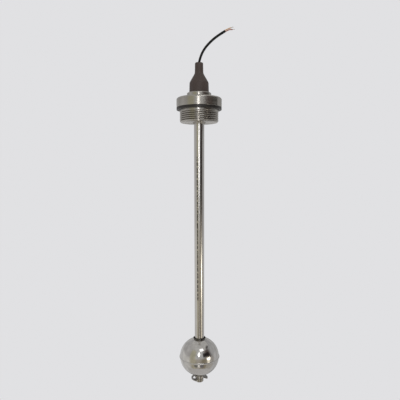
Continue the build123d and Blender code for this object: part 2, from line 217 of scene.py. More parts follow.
# Cores and strands: two thin insulated wires past the jacket's end, brown and yellow, each
# stripped to a few millimetres of tinned copper strands twisted together.
core_radius = 0.55 * MM
core_side = 0.7 * MM
core_start = 0.5 * MM
core_bend = Vector((4.6, 0.0, 2.2)) * MM
strand_length = 2.6 * MM
jacket_end = Vector(cable_route[-1])
end_direction = (jacket_end - Vector(cable_route[-2])).normalized()
across = Vector((-end_direction.z, 0, end_direction.x))

strand_tree, taken, given = node_group(
    "twisted_strands",
    "GeometryNodeTree",
    [
        ("Start", "Vector", (0.0, 0.0, 0.0)),
        ("Direction", "Vector", (0.0, 0.0, 1.0)),
        ("Length", "Float", strand_length),
        ("Lay Radius", "Float", 0.18 * MM),
        ("Wire Radius", "Float", 0.09 * MM),
        ("Wires", "Int", 6),
        ("Turns", "Float", 0.8),
        ("Material", "Material", None),
    ],
    [("Mesh", "Geometry")],
)
wire_section = add_node(
    strand_tree,
    "GeometryNodeCurvePrimitiveCircle",
    {"Resolution": 8, "Radius": taken["Wire Radius"]},
)
helix = add_node(
    strand_tree,
    "GeometryNodeCurveSpiral",
    {
        "Resolution": 20,
        "Rotations": taken["Turns"],
        "Start Radius": taken["Lay Radius"],
        "End Radius": taken["Lay Radius"],
        "Height": taken["Length"],
    },
)
wire = add_node(
    strand_tree,
    "GeometryNodeCurveToMesh",
    {
        "Curve": helix.outputs["Curve"],
        "Profile Curve": wire_section.outputs["Curve"],
        "Fill Caps": True,
    },
)
seats = add_node(strand_tree, "GeometryNodePoints", {"Count": taken["Wires"]})
index = add_node(strand_tree, "GeometryNodeInputIndex").outputs["Index"]
share = math_node(strand_tree, "DIVIDE", index, taken["Wires"])
turn = math_node(strand_tree, "MULTIPLY", share, 2 * math.pi)
turned_by = add_node(strand_tree, "ShaderNodeCombineXYZ", {"Z": turn})
wires = add_node(
    strand_tree,
    "GeometryNodeInstanceOnPoints",
    {
        "Points": seats.outputs["Points"],
        "Instance": wire.outputs["Mesh"],
        "Rotation": turned_by.outputs["Vector"],
    },
)
aim = add_node(
    strand_tree, "FunctionNodeAlignRotationToVector", {"Vector": taken["Direction"]}, axis="Z"
)
laid = add_node(
    strand_tree,
    "GeometryNodeTransform",
    {
        "Geometry": wires.outputs["Instances"],
        "Translation": taken["Start"],
        "Rotation": aim.outputs["Rotation"],
    },
)
real = add_node(strand_tree, "GeometryNodeRealizeInstances", {"Geometry": laid.outputs["Geometry"]})
painted = add_node(
    strand_tree,
    "GeometryNodeSetMaterial",
    {"Geometry": real.outputs["Geometry"], "Material": taken["Material"]},
)
strand_tree.links.new(painted.outputs["Geometry"], given["Mesh"])


def grown(name, tree, values):
    """The plain mesh that a Geometry Nodes tree makes with these values of its inputs."""
    obj = bpy.data.objects.new(name, bpy.data.meshes.new(name))
    scene.collection.objects.link(obj)
    modifier = obj.modifiers.new("grown", "NODES")
    modifier.node_group = tree
    for item in tree.interface.items_tree:
        if item.in_out == "INPUT" and item.name in values:
            modifier[item.identifier] = values[item.name]
    evaluated = obj.evaluated_get(bpy.context.evaluated_depsgraph_get())
    mesh = bpy.data.meshes.new_from_object(evaluated)
    obj.modifiers.remove(modifier)
    obj.data = mesh
    mesh.polygons.foreach_set("use_smooth", [True] * len(mesh.polygons))
    return obj


tinned, tree, shader = new_material("tinned_copper", {"Metallic": 1.0, "Roughness": 0.35})
skin = use_group(tree, moulded_grain, {"Grains per metre": 9000.0, "Patches per metre": 1500.0})
tinned_tint = blend_colours(tree, skin["Patches"], (0.62, 0.60, 0.57, 1), (0.50, 0.38, 0.28, 1))
tree.links.new(tinned_tint, shader.inputs["Base Color"])

core_colours = {
    "brown": ((0.22, 0.055, 0.028), (0.28, 0.08, 0.04)),
    "yellow": ((0.50, 0.27, 0.10), (0.56, 0.33, 0.13)),
}
core_tips = {
    "brown": Vector((8.4, 0.5, 2.5)) * MM,
    "yellow": Vector((7.4, -0.6, 2.9)) * MM,
}
core_pieces = []
for core, side in (("brown", -1), ("yellow", 1)):
    insulation = rubber(
        f"core_{core}",
        *core_colours[core],
        roughness=0.45,
        grains_per_metre=9000,
        depth=0.01 * MM,
    )
    root = jacket_end + across * side * core_side
    tip = root + core_tips[core]
    tip_direction = (tip - root - core_bend).normalized()
    core_route = [
        root,
        root + end_direction * core_start * 4,
        root + core_bend,
        tip - tip_direction * core_start * 2,
        tip,
    ]
    wire = cord_line(f"core_{core}_insulation", core_route, core_radius, insulation)
    stands_for(wire, "root", f"core_{core}", f"core_{core}")
    strands = grown(
        f"strands_{core}_twisted",
        strand_tree,
        {"Start": tip - tip_direction * core_start, "Direction": tip_direction,
         "Length": strand_length + core_start, "Material": tinned},
    )
    stands_for(strands, "root", "tinned_strands", f"strands_{core}")
    core_pieces += [wire, strands]
    inner_core = frame["nodes"][f"inner_core_{core}"]
    inner_core.data.materials.clear()
    inner_core.data.materials.append(insulation)


# Cable boot: one moulded piece of dark rubber, pushed over the plug's spigot down to the collar.
# Its straight side closes in over a shoulder to a neck that holds the cable.
def rounded(corners, steps=6):
    """An outline whose corners (radius, height, rounding) are eased by their rounding."""
    outline = []
    for i, (radius, height, rounding) in enumerate(corners):
        here = Vector((radius, height))
        if not rounding:
            outline.append(here)
            continue
        start = here + (Vector(corners[i - 1][:2]) - here).normalized() * rounding
        end = here + (Vector(corners[(i + 1) % len(corners)][:2]) - here).normalized() * rounding
        for step in range(steps + 1):
            t = step / steps
            outline.append(start.lerp(here, t).lerp(here.lerp(end, t), t))
    return outline


def turned(name, outline, material, segments=192, shape=None, closed=True, sharp_angle=35):
    """A piece of revolution: an outline of radii and heights taken round the stem's axis.

    shape(angle, radius, height) gives a point's own radius where the piece isn't quite round.
    """
    body = bmesh.new()
    rings = []
    for radius, height in outline:
        if radius < 1e-7:
            rings.append([body.verts.new((0, 0, height))] * segments)
            continue
        ring = []
        for k in range(segments):
            angle = 2 * math.pi * k / segments
            own = shape(angle, radius, height) if shape else radius
            ring.append(body.verts.new((own * math.cos(angle), own * math.sin(angle), height)))
        rings.append(ring)
    pairs = list(zip(rings, rings[1:]))
    if closed:
        pairs.append((rings[-1], rings[0]))
    for low, high in pairs:
        for k in range(segments):
            after = (k + 1) % segments
            corners = [low[k], low[after], high[after], high[k]]
            corners = [c for i, c in enumerate(corners) if c not in corners[:i]]
            if len(corners) > 2:
                body.faces.new(corners)
    bmesh.ops.recalc_face_normals(body, faces=body.faces)
    mesh = bpy.data.meshes.new(name)
    body.to_mesh(mesh)
    body.free()
    mesh.materials.append(material)
    obj = bpy.data.objects.new(name, mesh)
    scene.collection.objects.link(obj)
    smooth(obj, sharp_angle)
    return obj


def smooth(obj, sharp_angle=35):
    """Smooth shading that keeps hard edges, with flat faces left flat."""
    obj.data.polygons.foreach_set("use_smooth", [True] * len(obj.data.polygons))
    obj.data.set_sharp_from_angle(angle=math.radians(sharp_angle))
    modifier = obj.modifiers.new("even", "WEIGHTED_NORMAL")
    modifier.keep_sharp = True
    evaluated = obj.evaluated_get(bpy.context.evaluated_depsgraph_get())
    mesh = bpy.data.meshes.new_from_object(evaluated)
    obj.modifiers.clear()
    obj.data = mesh


boot_low, boot_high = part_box("cable_boot")
collar_top = boot_low.z
boot_base_r = boot_high.x
boot_top = boot_high.z
spigot_r = 9.0 * MM
seat = 0.05 * MM
boot_draft = 0.4 * MM
boot_side_top = collar_top + 11.9 * MM
boot_neck_foot = collar_top + 22.5 * MM
boot_neck_foot_r = 5.2 * MM
boot_neck_r = 4.9 * MM
boot_mouth_r = cable_radius + 0.95 * MM
boot_mouth_low = boot_top - 1.2 * MM
cable_hole_low = collar_top + 19.9 * MM
spigot_room_top = collar_top + 11.3 * MM
boot_outline = rounded(
    [
        (spigot_r + seat, collar_top, 0),
        (boot_base_r, collar_top, 0.25 * MM),
        (boot_base_r - boot_draft, boot_side_top, 1.1 * MM),
        (boot_neck_foot_r, boot_neck_foot, 1.8 * MM),
        (boot_neck_r, boot_top, 1.1 * MM),
        (boot_mouth_r, boot_top, 0.3 * MM),
        (cable_radius + seat, boot_mouth_low, 0.3 * MM),
        (cable_radius + seat, cable_hole_low, 0),
        (spigot_r + seat, spigot_room_top, 0),
    ],
    steps=10,
)
boot_rubber = rubber(
    "boot_rubber",
    colour=(0.054, 0.038, 0.034),
    dull_colour=(0.069, 0.053, 0.048),
    roughness=0.44,
    grains_per_metre=2600,
    depth=0.012 * MM,
    specular=0.3,
)
boot = turned("cable_boot_moulded", boot_outline, boot_rubber)
stands_for(boot, "root", "boot_rubber", "cable_boot")


# Mounting plug: turned from stainless bar in one piece, with the collar, the flange and the
# parallel pipe thread. The stem runs up into it through a bore in its lower face.
plug_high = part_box("mounting_plug")[1]
gasket_low, gasket_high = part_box("sealing_gasket")
stem_low, stem_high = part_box("stem_tube")
plug_top = plug_high.z
flange_r = plug_high.x
flange_underside = gasket_high.z
flange_top = collar_top - 6.0 * MM
flange_edge = 1.4 * MM
flange_edge_r = flange_r - 1.5 * MM
collar_r = 14.9 * MM
collar_edge = 0.8 * MM
spigot_rib = 0.5 * MM
spigot_rib_z = collar_top + 6.0 * MM
spigot_rib_half = 1.0 * MM
chamber_floor = -1.0 * MM
stem_r = stem_high.x
bore_r = stem_r + seat
chamber_r = stem_r + 0.65 * MM
thread_pitch = 2.309 * MM
thread_depth = 0.64 * thread_pitch
thread_r = frame["record"]["mounts"][0]["dims"]["r_mm"] * MM
thread_end = -14.8 * MM
chamfer = 1.2 * MM
thread_start = -2.0 * MM
relief_r = thread_r - 1.6 * MM


def thread_shape(angle, radius, height):
    """The plug's outside under the flange, cut by a right-handed thread that runs out at its top."""
    if height > 0 or radius < relief_r:
        return radius
    turn = (height / thread_pitch - angle / (2 * math.pi)) % 1
    groove = (0.5 + 0.5 * math.cos(2 * math.pi * turn)) ** 3
    run_out = min(1, max(0, (thread_start - height) / (0.8 * thread_pitch)))
    return min(radius, thread_r - thread_depth * groove * run_out)


chamfer_top = thread_end + chamfer
thread_steps = 130
thread_rows = [
    (thread_r, chamfer_top - chamfer_top * i / thread_steps, 0) for i in range(thread_steps + 1)
]
chamfer_steps = 8
chamfer_rows = [
    (thread_r - chamfer * (1 - i / chamfer_steps), thread_end + chamfer * i / chamfer_steps, 0)
    for i in range(chamfer_steps)
]
plug_outline = rounded(
    [
        (bore_r, thread_end, 0),
        *chamfer_rows,
        *thread_rows,
        (relief_r, 0, 0),
        (relief_r, flange_underside, 0),
        (flange_r, flange_underside, 0.35 * MM),
        (flange_r, flange_top - flange_edge, 0.5 * MM),
        (flange_edge_r, flange_top, 0.5 * MM),
        (collar_r, flange_top, 0.3 * MM),
        (collar_r, collar_top - collar_edge, 0.25 * MM),
        (collar_r - collar_edge, collar_top, 0.25 * MM),
        (spigot_r, collar_top, 0),
        (spigot_r, spigot_rib_z - spigot_rib_half, 0),
        (spigot_r + spigot_rib, spigot_rib_z, 0.2 * MM),
        (spigot_r, spigot_rib_z + spigot_rib_half, 0),
        (spigot_r, plug_top - spigot_rib, 0.2 * MM),
        (spigot_r - spigot_rib, plug_top, 0.2 * MM),
        (chamber_r, plug_top, 0),
        (chamber_r, chamber_floor, 0),
        (bore_r, chamber_floor, 0),
    ],
    steps=4,
)

# turned metal: fine lines round the axis, on the sides and on the end faces
lathe_lines, taken, given = node_group(
    "lathe_lines",
    "ShaderNodeTree",
    [("Lines per metre", "Float", 3000.0), ("Patches per metre", "Float", 60.0)],
    [("Height", "Float"), ("Tone", "Float"), ("Patches", "Float")],
)
place = add_node(lathe_lines, "ShaderNodeTexCoord").outputs["Object"]
parts = add_node(lathe_lines, "ShaderNodeSeparateXYZ", {"Vector": place}).outputs
flat_place = add_node(lathe_lines, "ShaderNodeCombineXYZ", {"X": parts["X"], "Y": parts["Y"]})
off_axis = add_node(
    lathe_lines, "ShaderNodeVectorMath", {0: flat_place.outputs["Vector"]}, operation="LENGTH"
)
along = math_node(lathe_lines, "ADD", parts["Z"], off_axis.outputs["Value"])
lines = add_node(
    lathe_lines,
    "ShaderNodeTexNoise",
    {"W": along, "Scale": taken["Lines per metre"], "Detail": 2.0},
    noise_dimensions="1D",
)
bands = add_node(
    lathe_lines,
    "ShaderNodeTexNoise",
    {"W": along, "Scale": 400.0, "Detail": 2.0},
    noise_dimensions="1D",
)
patches = add_node(
    lathe_lines,
    "ShaderNodeTexNoise",
    {"Vector": place, "Scale": taken["Patches per metre"], "Detail": 4.0},
)
lathe_lines.links.new(lines.outputs["Fac"], given["Height"])
lathe_lines.links.new(bands.outputs["Fac"], given["Tone"])
lathe_lines.links.new(patches.outputs["Fac"], given["Patches"])

# worn edges: brighter where a corner has been rubbed
edge_wear, taken, given = node_group(
    "edge_wear",
    "ShaderNodeTree",
    [("Width", "Float", 0.4 * MM), ("Strength", "Float", 6.0)],
    [("Mask", "Float")],
)
eased = add_node(edge_wear, "ShaderNodeBevel", {"Radius": taken["Width"]}, samples=4)
facing = add_node(edge_wear, "ShaderNodeNewGeometry")
alike = add_node(
    edge_wear,
    "ShaderNodeVectorMath",
    {0: eased.outputs["Normal"], 1: facing.outputs["Normal"]},
    operation="DOT_PRODUCT",
)
turned_away = math_node(edge_wear, "SUBTRACT", 1.0, alike.outputs["Value"])
mask = math_node(edge_wear, "MULTIPLY", turned_away, taken["Strength"], clamp=True)
edge_wear.links.new(mask, given["Mask"])


def steel(name, colour, dark_colour, roughness, anisotropic, lines, depth, worn=(0.8, 0.78, 0.75)):
    """Machined or polished steel: lines round the axis, darker patches, brighter worn edges."""
    plain = {"Metallic": 1.0, "Anisotropic": anisotropic, "Anisotropic Rotation": 0.25}
    made, tree, shader = new_material(name, plain)
    skin = use_group(tree, lathe_lines, {"Lines per metre": lines})
    wear = use_group(tree, edge_wear, {})
    patchy = spread(tree, skin["Patches"], -0.4, 1.4)
    tint = blend_colours(tree, patchy, (*colour, 1), (*dark_colour, 1))
    tint = blend_colours(tree, wear["Mask"], tint, (*worn, 1))
    tree.links.new(tint, shader.inputs["Base Color"])
    dullness = spread(tree, skin["Tone"], roughness - 0.05, roughness + 0.05)
    tree.links.new(dullness, shader.inputs["Roughness"])
    relief = {"Height": skin["Height"], "Distance": depth, "Strength": 0.5}
    bump = add_node(tree, "ShaderNodeBump", relief)
    tree.links.new(bump.outputs["Normal"], shader.inputs["Normal"])
    tangent = add_node(tree, "ShaderNodeTangent", direction_type="RADIAL", axis="Z")
    tree.links.new(tangent.outputs["Tangent"], shader.inputs["Tangent"])
    return made


turned_steel = steel(
    "turned_steel",
    colour=(0.575, 0.555, 0.525),
    dark_colour=(0.47, 0.445, 0.405),
    roughness=0.26,
    anisotropic=0.70,
    lines=1500,
    depth=0.0008 * MM,
)


def paint_groove_shade(material, crest_share, low_z, high_z, crest_r, root_r, colour):
    """Painted shade between two heights, darkest at the bottom of the grooves."""
    tree = material.node_tree
    shader = tree.nodes["Principled BSDF"]
    unshaded = shader.inputs["Base Color"].links[0].from_socket
    place = add_node(tree, "ShaderNodeTexCoord").outputs["Object"]
    parts = add_node(tree, "ShaderNodeSeparateXYZ", {"Vector": place}).outputs
    flat_place = add_node(tree, "ShaderNodeCombineXYZ", {"X": parts["X"], "Y": parts["Y"]})
    off_axis = add_node(
        tree, "ShaderNodeVectorMath", {0: flat_place.outputs["Vector"]}, operation="LENGTH"
    )
    deep = add_node(
        tree,
        "ShaderNodeMapRange",
        {"Value": off_axis.outputs["Value"], "From Min": crest_r, "From Max": root_r,
         "To Min": crest_share, "To Max": 1.0},
    )
    above = math_node(tree, "GREATER_THAN", parts["Z"], low_z)
    below = math_node(tree, "LESS_THAN", parts["Z"], high_z)
    within = math_node(tree, "MULTIPLY", above, below)
    share = math_node(tree, "MULTIPLY", within, deep.outputs["Result"])
    # painted shade: the steel's colour is darkened by this share
    groove_shaded = blend_colours(tree, share, unshaded, (*colour, 1))
    tree.links.new(groove_shaded, shader.inputs["Base Color"])


# painted shade in the thread's grooves, darkest at their bottoms
paint_groove_shade(
    turned_steel,
    crest_share=0.02,
    low_z=chamfer_top,
    high_z=0.0,
    crest_r=thread_r,
    root_r=thread_r - thread_depth,
    colour=(0.29, 0.26, 0.23),
)
plug = turned(
    "mounting_plug_threaded",
    plug_outline,
    turned_steel,
    segments=288,
    shape=thread_shape,
    sharp_angle=80,
)
stands_for(plug, "root", "turned_steel", "mounting_plug")


# Weld: the bead that joins plug and stem, laid round the stem in short overlapping ripples of
# stainless filler. Heat has left it darker than the steel on both sides.
bead_tree, taken, given = node_group(
    "weld_ripples",
    "GeometryNodeTree",
    [
        ("Ring Radius", "Float", 7.0 * MM),
        ("Height", "Float", thread_end),
        ("Ripple Size", "Float", 0.95 * MM),
        ("Ripples", "Int", 34),
        ("Unevenness", "Float", 0.12),
        ("Seed", "Int", 3),
        ("Material", "Material", None),
    ],
    [("Mesh", "Geometry")],
)
seats = add_node(
    bead_tree,
    "GeometryNodeMeshCircle",
    {"Vertices": taken["Ripples"], "Radius": taken["Ring Radius"]},
)
ripple = add_node(
    bead_tree,
    "GeometryNodeMeshIcoSphere",
    {"Radius": taken["Ripple Size"], "Subdivisions": 3},
)
least = math_node(bead_tree, "SUBTRACT", 1.0, taken["Unevenness"])
most = math_node(bead_tree, "ADD", 1.0, taken["Unevenness"])
size = add_node(
    bead_tree,
    "FunctionNodeRandomValue",
    {"Min": least, "Max": most, "Seed": taken["Seed"]},
    data_type="FLOAT",
)
ripples = add_node(
    bead_tree,
    "GeometryNodeInstanceOnPoints",
    {
        "Points": seats.outputs["Mesh"],
        "Instance": ripple.outputs["Mesh"],
        "Scale": size.outputs["Value"],
    },
)
lifted = add_node(bead_tree, "ShaderNodeCombineXYZ", {"Z": taken["Height"]})
set_down = add_node(
    bead_tree,
    "GeometryNodeTransform",
    {"Geometry": ripples.outputs["Instances"], "Translation": lifted.outputs["Vector"]},
)
real = add_node(bead_tree, "GeometryNodeRealizeInstances", {"Geometry": set_down.outputs["Geometry"]})
painted = add_node(
    bead_tree,
    "GeometryNodeSetMaterial",
    {"Geometry": real.outputs["Geometry"], "Material": taken["Material"]},
)
bead_tree.links.new(painted.outputs["Geometry"], given["Mesh"])
weld_steel = steel(
    "weld_steel",
    colour=(0.62, 0.60, 0.56),
    dark_colour=(0.22, 0.19, 0.17),
    roughness=0.36,
    anisotropic=0.0,
    lines=3000,
    depth=0.01 * MM,
)
bead = grown("weld_bead", bead_tree, {"Material": weld_steel})
stands_for(bead, "root", "turned_steel")


# Gasket: a flat ring of dark rubber, stamped from sheet and slipped over the thread up against
# the flange.
gasket_rubber = rubber(
    "gasket_rubber",
    colour=(0.013, 0.011, 0.010),
    dull_colour=(0.022, 0.019, 0.018),
    roughness=0.34,
    grains_per_metre=3000,
    depth=0.01 * MM,
)
gasket_bore_r = thread_r + 0.3 * MM
gasket_outline = rounded(
    [
        (gasket_bore_r, gasket_low.z, 0.2 * MM),
        (gasket_high.x, gasket_low.z, 0.35 * MM),
        (gasket_high.x, gasket_high.z, 0.35 * MM),
        (gasket_bore_r, gasket_high.z, 0.2 * MM),
    ]
)
gasket = turned("sealing_gasket_ring", gasket_outline, gasket_rubber)
stands_for(gasket, "root", "gasket_rubber", "sealing_gasket")


# Stem: half-inch stainless tube, drawn and polished, welded into the plug. A row of plain
# etched strokes runs down the side that faces the camera.
stem_bore_r = stem_r - 1.2 * MM
stem_steel = steel(
    "drawn_steel",
    colour=(0.74, 0.72, 0.70),
    dark_colour=(0.68, 0.65, 0.62),
    roughness=0.15,
    anisotropic=0.85,
    lines=1200,
    depth=0.0003 * MM,
)
tube_outline = rounded(
    [
        (stem_bore_r, stem_low.z, 0.15 * MM),
        (stem_r, stem_low.z, 0.3 * MM),
        (stem_r, stem_high.z, 0.3 * MM),
        (stem_bore_r, stem_high.z, 0),
    ]
)
marks_top = -56 * MM
marks_end = -244 * MM
top_azimuth = math.radians(-24)
end_azimuth = math.radians(-19)
mark_half_width = 0.62 * MM
mark_fray = 0.9 * MM
mark_ink = (0.025, 0.022, 0.018, 1)
tree = stem_steel.node_tree
shader = tree.nodes["Principled BSDF"]
place = add_node(tree, "ShaderNodeTexCoord").outputs["Object"]
parts = add_node(tree, "ShaderNodeSeparateXYZ", {"Vector": place}).outputs
front = math_node(tree, "MULTIPLY", parts["Y"], -1.0)
azimuth = math_node(tree, "ARCTAN2", parts["X"], front)
row_azimuth = add_node(
    tree,
    "ShaderNodeMapRange",
    {"Value": parts["Z"], "From Min": marks_top, "From Max": marks_end,
     "To Min": top_azimuth, "To Max": end_azimuth},
)
aside = math_node(tree, "SUBTRACT", azimuth, row_azimuth.outputs["Result"])
aside = math_node(tree, "MULTIPLY", aside, stem_r)
ragged = add_node(tree, "ShaderNodeTexNoise", {"Vector": place, "Scale": 1500.0, "Detail": 2.0})
fray = spread(tree, ragged.outputs["Fac"], -mark_fray, mark_fray)
aside = math_node(tree, "ABSOLUTE", math_node(tree, "ADD", aside, fray))
near_row = math_node(tree, "LESS_THAN", aside, mark_half_width)
strokes = add_node(
    tree,
    "ShaderNodeTexNoise",
    {"W": parts["Z"], "Scale": 330.0, "Detail": 1.0},
    noise_dimensions="1D",
)
inked = math_node(tree, "GREATER_THAN", strokes.outputs["Fac"], 0.44)
under_top = math_node(tree, "LESS_THAN", parts["Z"], marks_top)
over_end = math_node(tree, "GREATER_THAN", parts["Z"], marks_end)
etched = near_row
for limit in (inked, under_top, over_end):
    etched = math_node(tree, "MULTIPLY", etched, limit)
bright = shader.inputs["Base Color"].links[0].from_socket
tint = blend_colours(tree, etched, bright, mark_ink)
tree.links.new(tint, shader.inputs["Base Color"])
polish = shader.inputs["Roughness"].links[0].from_socket
etched_polish = math_node(tree, "ADD", polish, math_node(tree, "MULTIPLY", etched, 0.3))
tree.links.new(etched_polish, shader.inputs["Roughness"])
stem = turned("stem_tube_polished", tube_outline, stem_steel, segments=128)
stands_for(stem, "root", "drawn_steel", "stem_tube")


# End plug: turned from stainless bar and welded into the tube's lower end. The clip's groove is
# cut right below the tube, and the end is slimmer than the tube.
end_low, end_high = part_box("stem_end_plug")
clip_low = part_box("retaining_clip")[0]
end_r = 5.5 * MM
end_edge = 0.9 * MM
groove_r = 4.7 * MM
groove_low = clip_low.z - seat
end_outline = rounded(
    [
        (0, end_low.z, 0),
        (end_r - end_edge, end_low.z, 0.25 * MM),
        (end_r, end_low.z + end_edge, 0.25 * MM),
        (end_r, groove_low, 0.15 * MM),
        (groove_r, groove_low, 0),
        (groove_r, stem_low.z, 0),
        (stem_bore_r - seat, stem_low.z, 0),
        (stem_bore_r - seat, end_high.z, 0.3 * MM),
        (0, end_high.z, 0),
    ],
    steps=4,
)
end_plug = turned("stem_end_turned", end_outline, turned_steel, segments=128, closed=False)
stands_for(end_plug, "root", "turned_steel", "stem_end_plug")


# Retaining clip: stamped from spring steel in an E form, pushed sideways into the groove, which
# its prongs grip. It keeps the float on the stem.
def eased_copy(name, node, width, material):
    """A copy of a solid with its edges rounded over, as stamping leaves them."""
    body = bmesh.new()
    body.from_mesh(frame["nodes"][node].data)
    bmesh.ops.remove_doubles(body, verts=body.verts, dist=0.001 * MM)
    bmesh.ops.dissolve_limit(
        body, angle_limit=math.radians(1), verts=body.verts, edges=body.edges
    )
    mesh = bpy.data.meshes.new(name)
    body.to_mesh(mesh)
    body.free()
    mesh.materials.clear()
    mesh.materials.append(material)
    obj = bpy.data.objects.new(name, mesh)
    scene.collection.objects.link(obj)
    modifier = obj.modifiers.new("eased", "BEVEL")
    modifier.width = width
    modifier.segments = 3
    modifier.limit_method = "ANGLE"
    modifier.angle_limit = math.radians(40)
    evaluated = obj.evaluated_get(bpy.context.evaluated_depsgraph_get())
    obj.data = bpy.data.meshes.new_from_object(evaluated)
    obj.modifiers.clear()
    smooth(obj)
    return obj


clip_steel = steel(
    "clip_steel",
    colour=(0.46, 0.45, 0.44),
    dark_colour=(0.30, 0.29, 0.28),
    roughness=0.34,
    anisotropic=0.0,
    lines=3500,
    depth=0.006 * MM,
)
clip = eased_copy("retaining_clip_stamped", "retaining_clip", 0.15 * MM, clip_steel)
stands_for(clip, "root", "clip_steel", "retaining_clip")


# Float shells: two half balls pressed from thin stainless sheet, polished bright, butt welded
# at the equator. The weld stands proud as a narrow ridge.
upper_low, upper_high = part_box("float_upper_shell")
float_z = upper_low.z
seam_r = upper_high.x
ball_r = seam_r - 1.0 * MM
ball_wall = 0.5 * MM
seam_half = 1.3 * MM
guide_bore_r = stem_r + 0.95 * MM
guide_r = guide_bore_r + 0.5 * MM
hole_r = guide_r + seat
pressed_wave = 0.05 * MM


def pressed_shape(angle, radius, height):
    """The pressed shell's outside, which a roller has left very slightly uneven."""
    place = Vector((radius * math.cos(angle), radius * math.sin(angle), height - float_z))
    swell = noise.noise(place * 70) * pressed_wave
    if radius > ball_r:
        swell = min(0, noise.noise(place * 300)) * 2 * pressed_wave
    return radius + swell


def shell_outline(side):
    """Half a hollow ball with its share of the weld ridge, from the equator to the hole."""
    outer = []
    seam_foot = math.asin(seam_half / ball_r)
    seam_steps = 8
    for i in range(seam_steps + 1):
        t = i / seam_steps
        rise = math.sin(t * math.pi / 2)
        outer.append((ball_r + (seam_r - ball_r) * (1 - rise) * 0.999, side * seam_half * t**1.4))
    hole = math.acos(hole_r / ball_r)
    outer_steps = 56
    for i in range(1, outer_steps + 1):
        lift = seam_foot + (hole - seam_foot) * i / outer_steps
        outer.append((ball_r * math.cos(lift), side * ball_r * math.sin(lift)))
    inner_r = ball_r - ball_wall
    hole = math.acos(hole_r / inner_r)
    inner = []
    inner_steps = 32
    for i in range(inner_steps + 1):
        lift = hole * (1 - i / inner_steps)
        inner.append((inner_r * math.cos(lift), side * inner_r * math.sin(lift)))
    return [(radius, float_z + height) for radius, height in outer + inner]


float_steel = steel(
    "float_steel",
    colour=(0.72, 0.705, 0.69),
    dark_colour=(0.66, 0.64, 0.62),
    roughness=0.15,
    anisotropic=0.0,
    lines=700,
    depth=0.0006 * MM,
)
for half, side in (("upper", 1), ("lower", -1)):
    shell = turned(
        f"float_{half}_pressed", shell_outline(side), float_steel, segments=256, shape=pressed_shape
    )
    stands_for(shell, "float", "float_steel", f"float_{half}_shell")


# Guide tube: a drawn tube through the float, with both ends flared over the shells' holes and
# welded. It was left dull, and its steel is coloured far darker than the shells'.
tube_low, tube_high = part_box("float_guide_tube")
flare = 0.75 * MM
flare_h = 1.5 * MM
guide_outline = rounded(
    [
        (guide_bore_r, tube_low.z + flare_h, 0.6 * MM),
        (guide_bore_r + flare, tube_low.z, 0.12 * MM),
        (guide_r + flare, tube_low.z, 0.12 * MM),
        (guide_r, tube_low.z + flare_h, 0.5 * MM),
        (guide_r, tube_high.z - flare_h, 0.5 * MM),
        (guide_r + flare, tube_high.z, 0.12 * MM),
        (guide_bore_r + flare, tube_high.z, 0.12 * MM),
        (guide_bore_r, tube_high.z - flare_h, 0.6 * MM),
    ]
)
guide_steel = steel(
    "guide_steel",
    colour=(0.26, 0.25, 0.235),
    dark_colour=(0.16, 0.15, 0.14),
    roughness=0.32,
    anisotropic=0.0,
    lines=2500,
    depth=0.002 * MM,
    worn=(0.4, 0.39, 0.37),
)
guide = turned("float_guide_flared", guide_outline, guide_steel, segments=128)
stands_for(guide, "float", "float_steel", "float_guide_tube")


# Inside pieces: they are sealed in the stem, the plug and the float. The board carries the reed
# switches and the resistors, the resin holds the cores, and the float holds its ring magnet.
# for each: the colour, the duller colour, the roughness, the grains per metre and their depth
inside_paints = {
    "cast_resin": ((0.016, 0.016, 0.017), (0.03, 0.03, 0.03), 0.22, 1200, 0.02 * MM),
    "board_lacquer": ((0.03, 0.16, 0.06), (0.05, 0.22, 0.09), 0.35, 5000, 0.01 * MM),
    "chip_ceramic": ((0.03, 0.03, 0.034), (0.06, 0.06, 0.064), 0.5, 9000, 0.01 * MM),
    "spacer_silicone": ((0.50, 0.13, 0.08), (0.58, 0.18, 0.12), 0.5, 4000, 0.01 * MM),
    "sintered_ferrite": ((0.045, 0.045, 0.05), (0.07, 0.07, 0.075), 0.6, 5000, 0.03 * MM),
}
made_inside = {name: rubber(name, *values) for name, values in inside_paints.items()}
reed_glass, tree, shader = new_material(
    "reed_glass", {"Transmission Weight": 0.9, "IOR": 1.5, "Roughness": 0.08}
)
skin = use_group(tree, moulded_grain, {"Patches per metre": 300.0})
glass_tint = blend_colours(tree, skin["Patches"], (0.62, 0.80, 0.70, 1), (0.72, 0.86, 0.78, 1))
tree.links.new(glass_tint, shader.inputs["Base Color"])
inside = {
    "chamber_resin": made_inside["cast_resin"],
    "sensor_board": made_inside["board_lacquer"],
    "chain_resistors": made_inside["chip_ceramic"],
    "board_spacer": made_inside["spacer_silicone"],
    "reed_switch": reed_glass,
    "ring_magnet": made_inside["sintered_ferrite"],
    "magnet_cup": stem_steel,
    "magnet_washer": stem_steel,
}
for node_name, node in frame["nodes"].items():
    for start, material in inside.items():
        if node_name.startswith(start):
            node.data.materials.clear()
            node.data.materials.append(material)


# Studio: a pale floor far below, a pale background and one small lamp. The bright metal shows a
# round room with windows, a softbox and dark cards, all out of the camera's sight.
PALE = (0.752, 0.752, 0.768)
ROOM_RADIUS = 0.9
ROOM_BOTTOM = -1.58
ROOM_TOP = 1.3
FLOOR_RADIUS = 1.6
FLOOR_Z = -1.6
LOW_ENDS = -0.34
HIGH_STARTS = -0.18
HIGH_ENDS = 0.55
CEILING_STARTS = 0.85


